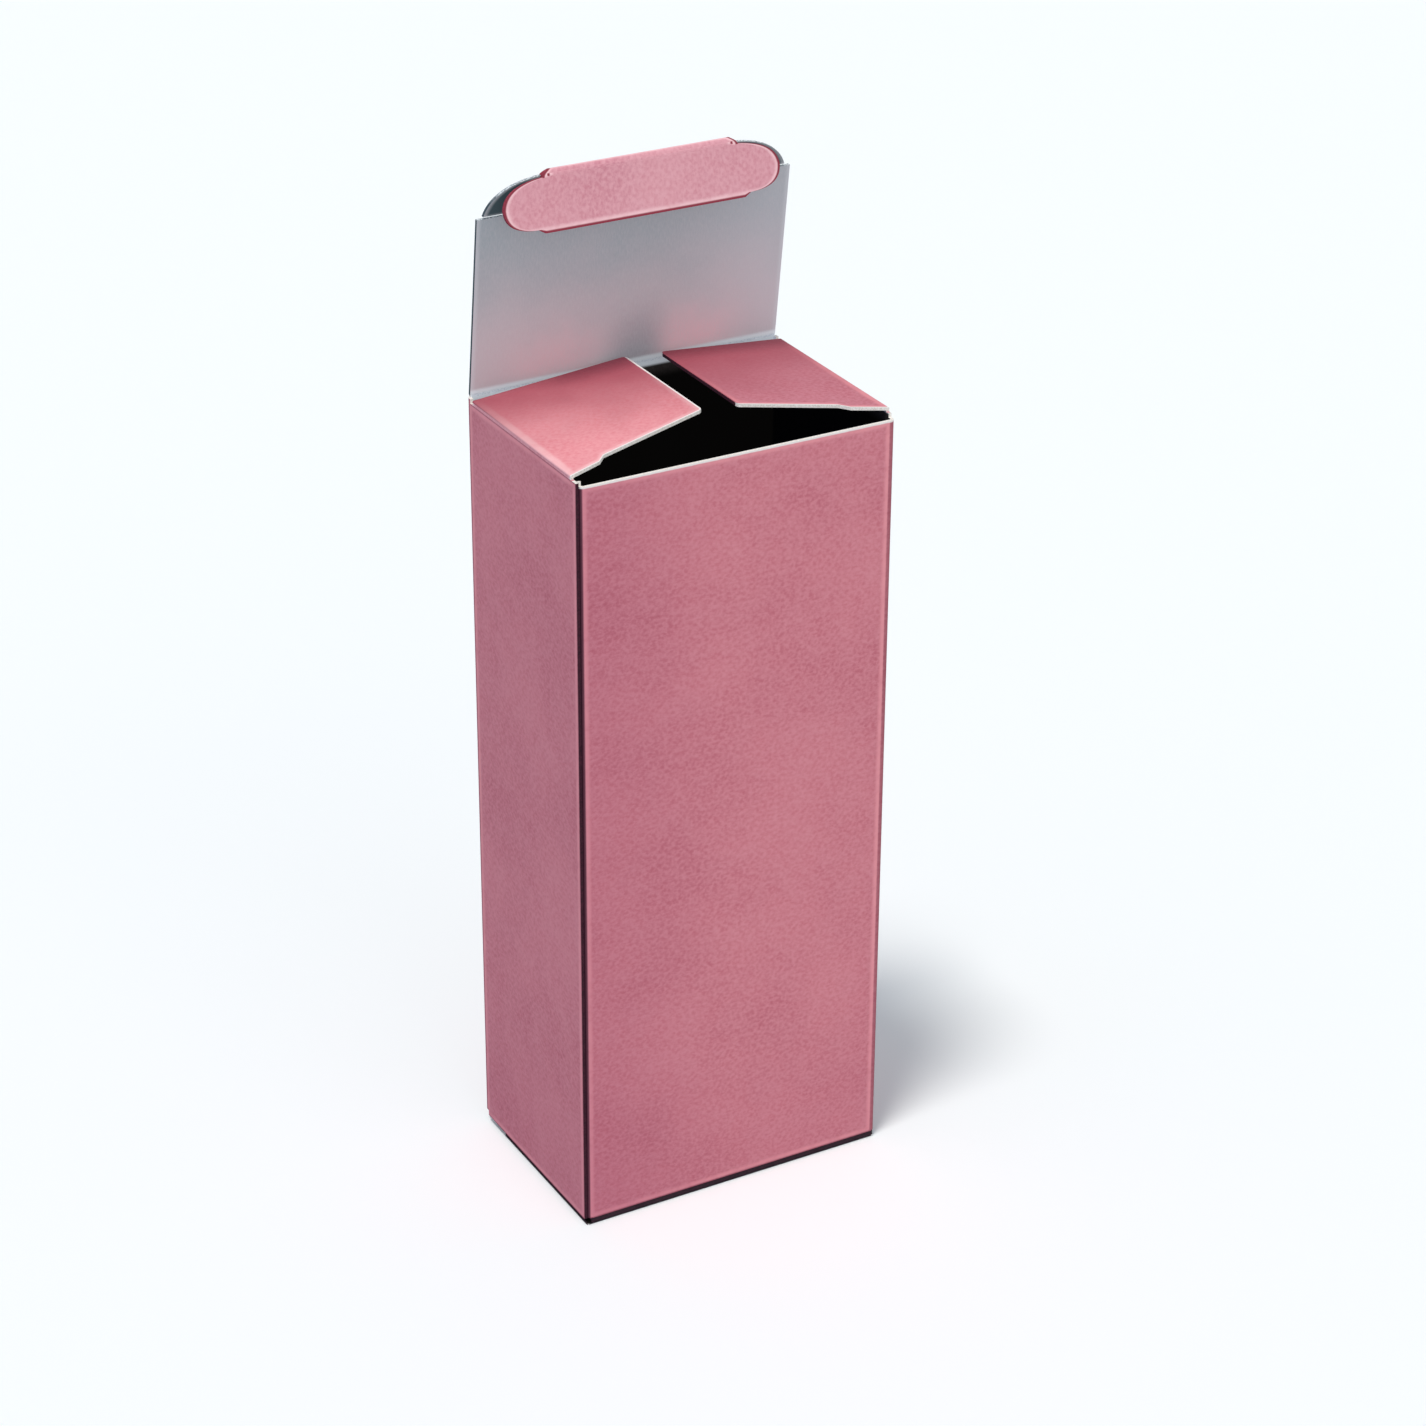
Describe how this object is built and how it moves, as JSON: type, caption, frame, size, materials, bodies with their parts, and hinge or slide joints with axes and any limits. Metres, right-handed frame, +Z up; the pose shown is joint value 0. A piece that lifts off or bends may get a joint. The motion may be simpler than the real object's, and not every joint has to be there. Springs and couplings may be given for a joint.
{
  "type": "tuck-end folding carton",
  "caption": "Tall rectangular paperboard carton with a hinged top lid and tuck flap standing open over two dust flaps, and a tucked bottom.",
  "frame": {"origin": "middle of the base, on the surface that the carton stands on", "axes": "+Z up along the carton, -Y out of the wide front panel, +X to the right seen from the front"},
  "size_m": [0.075, 0.05, 0.2289],
  "materials": {
    "printed_board": "matt dusty pink outer face",
    "board_inside": "plain uncoated grey-white inner face"
  },
  "bodies": {
    "carton": {"carton_body": "printed_board"},
    "lid": {"lid_panel": "board_inside"},
    "tuck": {"tuck_flap": "printed_board"},
    "dust_left": {"dust_flap_left": "printed_board"},
    "dust_right": {"dust_flap_right": "printed_board"},
    "bottom_lid": {"bottom_lid": "printed_board"},
    "bottom_tuck": {"bottom_tuck_flap": "printed_board"}
  },
  "joints": [
    {"name": "lid_hinge", "type": "hinge", "parent": "carton", "child": "lid", "pos_m": [0, 0.02465, 0.18065], "axis": [-1, 0, 0], "range_deg": [-82.5, 18]},
    {"name": "tuck_crease", "type": "hinge", "parent": "lid", "child": "tuck", "pos_m": [0, 0.01785, 0.22849], "axis": [1, 0, 0], "range_deg": [-57.8, 12.7]},
    {"name": "dust_left_crease", "type": "hinge", "parent": "carton", "child": "dust_left", "pos_m": [-0.03715, 0, 0.17965], "axis": [0, -1, 0], "range_deg": [-5.1, 1.2]},
    {"name": "dust_right_crease", "type": "hinge", "parent": "carton", "child": "dust_right", "pos_m": [0.03715, 0, 0.17965], "axis": [0, 1, 0], "range_deg": [-5.1, 1.2]},
    {"name": "bottom_hinge", "type": "hinge", "parent": "carton", "child": "bottom_lid", "pos_m": [0, -0.02465, 0.00035], "axis": [-1, 0, 0], "range_deg": [0, 100]},
    {"name": "bottom_tuck_crease", "type": "hinge", "parent": "bottom_lid", "child": "bottom_tuck", "pos_m": [0, 0.02367, 0.00085], "axis": [1, 0, 0], "range_deg": [0, 70.1]}
  ],
  "couplings": [
    {"joint": "tuck_crease", "follows": "lid_hinge", "ratio": 0.7},
    {"joint": "dust_left_crease", "follows": "lid_hinge", "ratio": 0.0606},
    {"joint": "dust_right_crease", "follows": "lid_hinge", "ratio": 0.0606},
    {"joint": "bottom_tuck_crease", "follows": "bottom_hinge", "ratio": 0.7}
  ]
}
